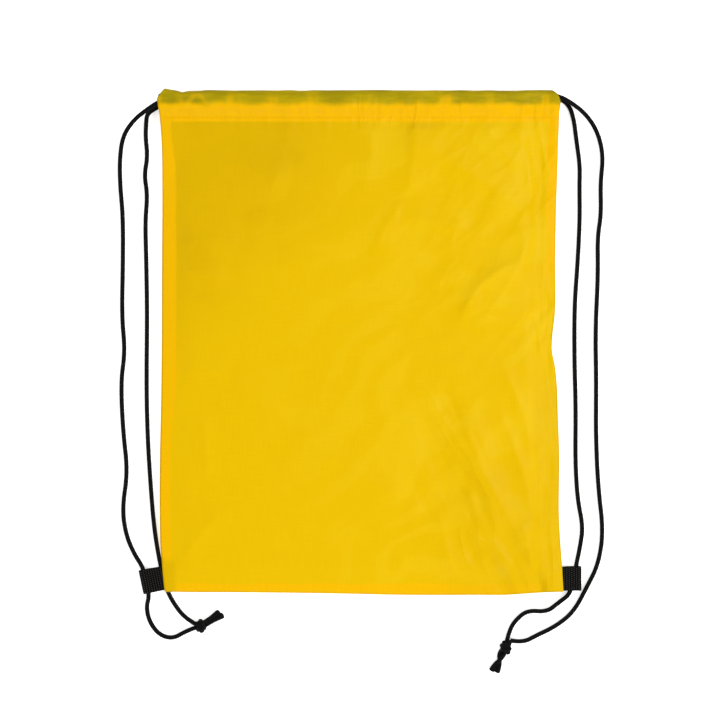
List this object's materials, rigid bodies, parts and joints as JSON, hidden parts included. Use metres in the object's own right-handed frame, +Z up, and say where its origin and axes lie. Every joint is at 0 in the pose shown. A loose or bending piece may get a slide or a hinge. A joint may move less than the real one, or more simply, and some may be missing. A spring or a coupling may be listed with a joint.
{
  "type": "drawstring backpack",
  "caption": "Flat drawstring backpack of thin woven cloth, with cords through a hemmed mouth that run down to webbing tabs at the bottom corners as shoulder straps.",
  "frame": {"origin": "under the middle of the bag, without its cords, on the surface that it lies on", "axes": "+Y from the bag's bottom seam to its mouth, +Z up through the front panel, +X to the right seen from above"},
  "size_m": [0.4082, 0.4833, 0.0161],
  "materials": {
    "cloth": "satin woven synthetic",
    "thread": "matte thread",
    "cord": "braided, matte",
    "webbing": "ribbed weave, matte"
  },
  "bodies": {
    "bag": {"rear_panel": "cloth", "rear_casing": "cloth", "left_seam_allowance": "cloth", "right_seam_allowance": "cloth", "bottom_seam_allowance": "cloth", "rear_casing_stitching": "thread", "left_seam_stitching": "thread", "right_seam_stitching": "thread", "bottom_seam_stitching": "thread", "left_cord": "cord", "right_cord": "cord", "left_knot": "cord", "right_knot": "cord", "left_cord_ends": "cord", "right_cord_ends": "cord"},
    "front": {"front_panel": "cloth", "front_casing": "cloth", "front_casing_stitching": "thread"},
    "left_tab": {"left_tab": "webbing"},
    "right_tab": {"right_tab": "webbing"}
  },
  "joints": [
    {"name": "mouth_opening", "type": "hinge", "parent": "bag", "child": "front", "pos_m": [0, -0.21, 0.0064], "axis": [1, 0, 0], "range_deg": [0, 8], "deforming": ["left_cord", "right_cord"]},
    {"name": "left_tab_lift", "type": "hinge", "parent": "bag", "child": "left_tab", "pos_m": [-0.166, -0.1966, 0.0051], "axis": [0, 1, 0], "range_deg": [0, 70], "deforming": ["left_cord", "right_cord"]},
    {"name": "right_tab_lift", "type": "hinge", "parent": "bag", "child": "right_tab", "pos_m": [0.166, -0.1975, 0.0051], "axis": [0, -1, 0], "range_deg": [0, 70], "deforming": ["left_cord", "right_cord"]}
  ]
}
